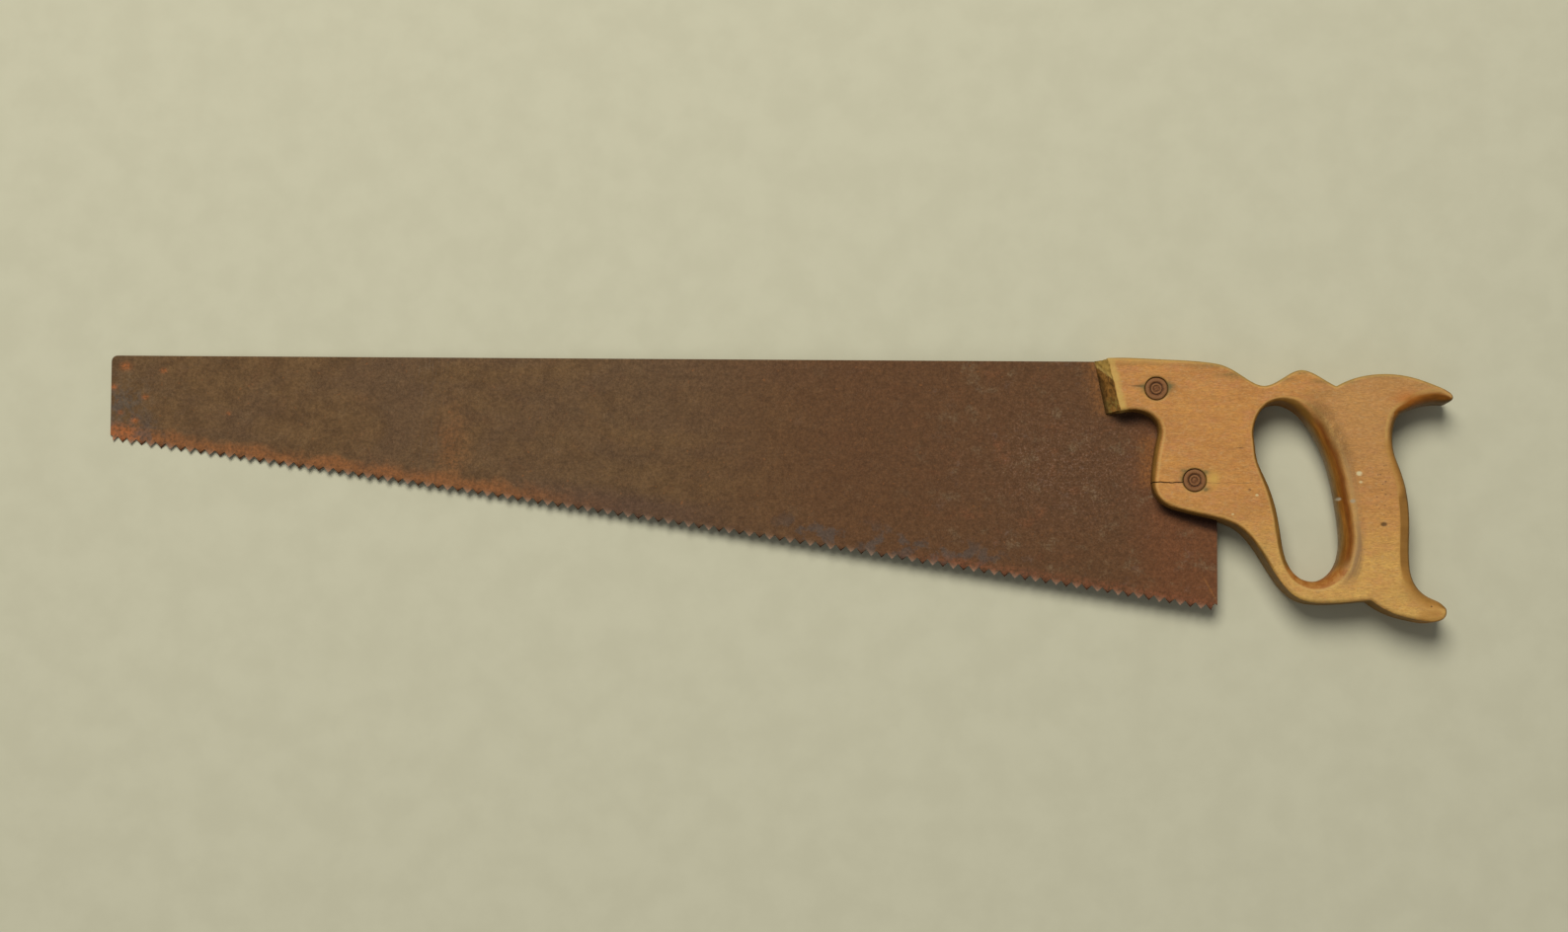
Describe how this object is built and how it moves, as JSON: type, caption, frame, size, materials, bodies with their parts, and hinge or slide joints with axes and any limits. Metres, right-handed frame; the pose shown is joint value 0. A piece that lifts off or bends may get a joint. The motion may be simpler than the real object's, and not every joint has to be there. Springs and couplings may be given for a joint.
{
  "type": "hand saw",
  "caption": "Crosscut hand saw: tapered toothed steel blade let into a closed wooden handle with horns and held by clinched rivets.",
  "frame": {"origin": "centre of the saw's bounding box, at the lower cheek of the handle (the saw lies on its side)", "axes": "+X along the straight back of the blade, from the toe to the handle; +Y from the tooth line to the back; +Z through the thickness, from the lower cheek to the upper cheek"},
  "size_m": [0.668, 0.1282, 0.022],
  "materials": {
    "handle_wood": "worn oiled beech",
    "rusty_plate": "matt brown rust",
    "rivet_steel": "brown rust"
  },
  "bodies": {
    "root": {"handle": "handle_wood", "blade": "rusty_plate", "upper_rivet": "rivet_steel", "upper_rivet_washer": "rivet_steel", "lower_rivet": "rivet_steel", "lower_rivet_washer": "rivet_steel"}
  },
  "joints": []
}
